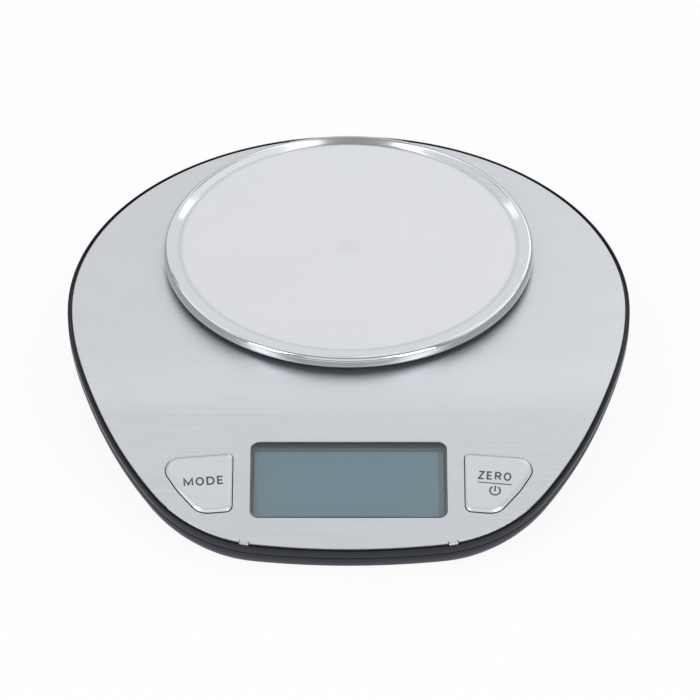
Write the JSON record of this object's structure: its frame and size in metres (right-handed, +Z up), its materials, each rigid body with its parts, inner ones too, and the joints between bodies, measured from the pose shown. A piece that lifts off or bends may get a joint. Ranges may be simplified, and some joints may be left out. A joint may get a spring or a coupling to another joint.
{
  "type": "digital kitchen scale",
  "caption": "Kitchen scale with a lift-off round steel plate, a dark plastic body with a battery door, and a sloping steel front with a display window, a mode key and a zero key.",
  "frame": {"origin": "middle of the body's footprint, on the table", "axes": "+Z up, the display and keys face -Y, +X to the right as the user sees it"},
  "size_m": [0.218, 0.232, 0.0376],
  "materials": {
    "lower_plastic": "fine moulded grain",
    "upper_plastic": "fine moulded grain",
    "cover_sheet": "brushed from side to side",
    "plate_sheet": "spun satin with a polished rim",
    "key_steel": "brushed",
    "key_plastic": "moulded",
    "foot_rubber": "matt",
    "screw_steel": "plated",
    "clear_lens": "clear and polished",
    "polariser_film": "satin",
    "lcd_glass": "clear",
    "reflector_film": "pearly",
    "holder_plastic": "moulded",
    "elastomer": "matt",
    "board_laminate": "solder mask",
    "chip_resin": "cured resin",
    "component_ceramic": "fired",
    "crystal_can": "drawn can",
    "switch_plastic": "moulded",
    "plunger_plastic": "moulded",
    "cell_aluminium": "milled",
    "gauge_foil": "film",
    "sealant": "satin",
    "shim_steel": "blanked",
    "wire_pvc": "insulation",
    "arm_aluminium": "pressed",
    "carrier_plastic": "moulded",
    "pad_silicone": "translucent",
    "battery_jacket": "printed sleeve",
    "contact_nickel": "plated"
  },
  "bodies": {
    "housing": {"lower_housing": "lower_plastic", "upper_housing": "upper_plastic", "cover_plate": "cover_sheet", "rubber_feet": "foot_rubber", "housing_screws": "screw_steel", "display_window": "clear_lens", "lcd_polariser": "polariser_film", "lcd_front_glass": "lcd_glass", "lcd_rear_glass": "lcd_glass", "lcd_reflector": "reflector_film", "lcd_holder": "holder_plastic", "elastomer_strip": "elastomer", "main_board": "board_laminate", "board_chip": "chip_resin", "board_parts": "component_ceramic", "board_crystal": "crystal_can", "board_screws": "screw_steel", "mode_switch": "switch_plastic", "zero_switch": "switch_plastic", "load_cell": "cell_aluminium", "strain_gauges": "gauge_foil", "gauge_sealant": "sealant", "cell_shim": "shim_steel", "cell_screws": "screw_steel", "overload_screw": "screw_steel", "cell_wires": "wire_pvc", "battery_cells": "battery_jacket", "battery_springs": "contact_nickel", "battery_contacts": "contact_nickel", "battery_bridge": "contact_nickel", "battery_wires": "wire_pvc"},
    "platform": {"carrier_arm": "arm_aluminium", "arm_spacer": "shim_steel", "arm_screws": "screw_steel", "hub_screws": "screw_steel", "plate_carrier": "carrier_plastic", "plate_pads": "pad_silicone"},
    "plate": {"weighing_plate": "plate_sheet"},
    "mode_button": {"mode_key_cap": "key_steel", "mode_key_carrier": "key_plastic", "mode_switch_plunger": "plunger_plastic"},
    "zero_button": {"zero_key_cap": "key_steel", "zero_key_carrier": "key_plastic", "zero_switch_plunger": "plunger_plastic"},
    "battery_hatch": {"battery_door": "lower_plastic"}
  },
  "joints": [
    {"name": "platform_press", "type": "slide", "parent": "housing", "child": "platform", "axis": [0, 0, 1], "range_m": [-0.0004, 0], "stiffness_N_per_m": 122500, "deforming": ["load_cell"]},
    {"name": "plate_lift", "type": "slide", "parent": "platform", "child": "plate", "axis": [0, 0, 1], "range_m": [0, 0.06]},
    {"name": "mode_press", "type": "slide", "parent": "housing", "child": "mode_button", "axis": [0, 0.2756, -0.9613], "range_m": [0, 0.0003], "stiffness_N_per_m": 8000},
    {"name": "zero_press", "type": "slide", "parent": "housing", "child": "zero_button", "axis": [0, 0.2756, -0.9613], "range_m": [0, 0.0003], "stiffness_N_per_m": 8000},
    {"name": "battery_door_hinge", "type": "hinge", "parent": "housing", "child": "battery_hatch", "pos_m": [0, 0.07795, 0.0024], "axis": [1, 0, 0], "range_deg": [0, 95]}
  ]
}
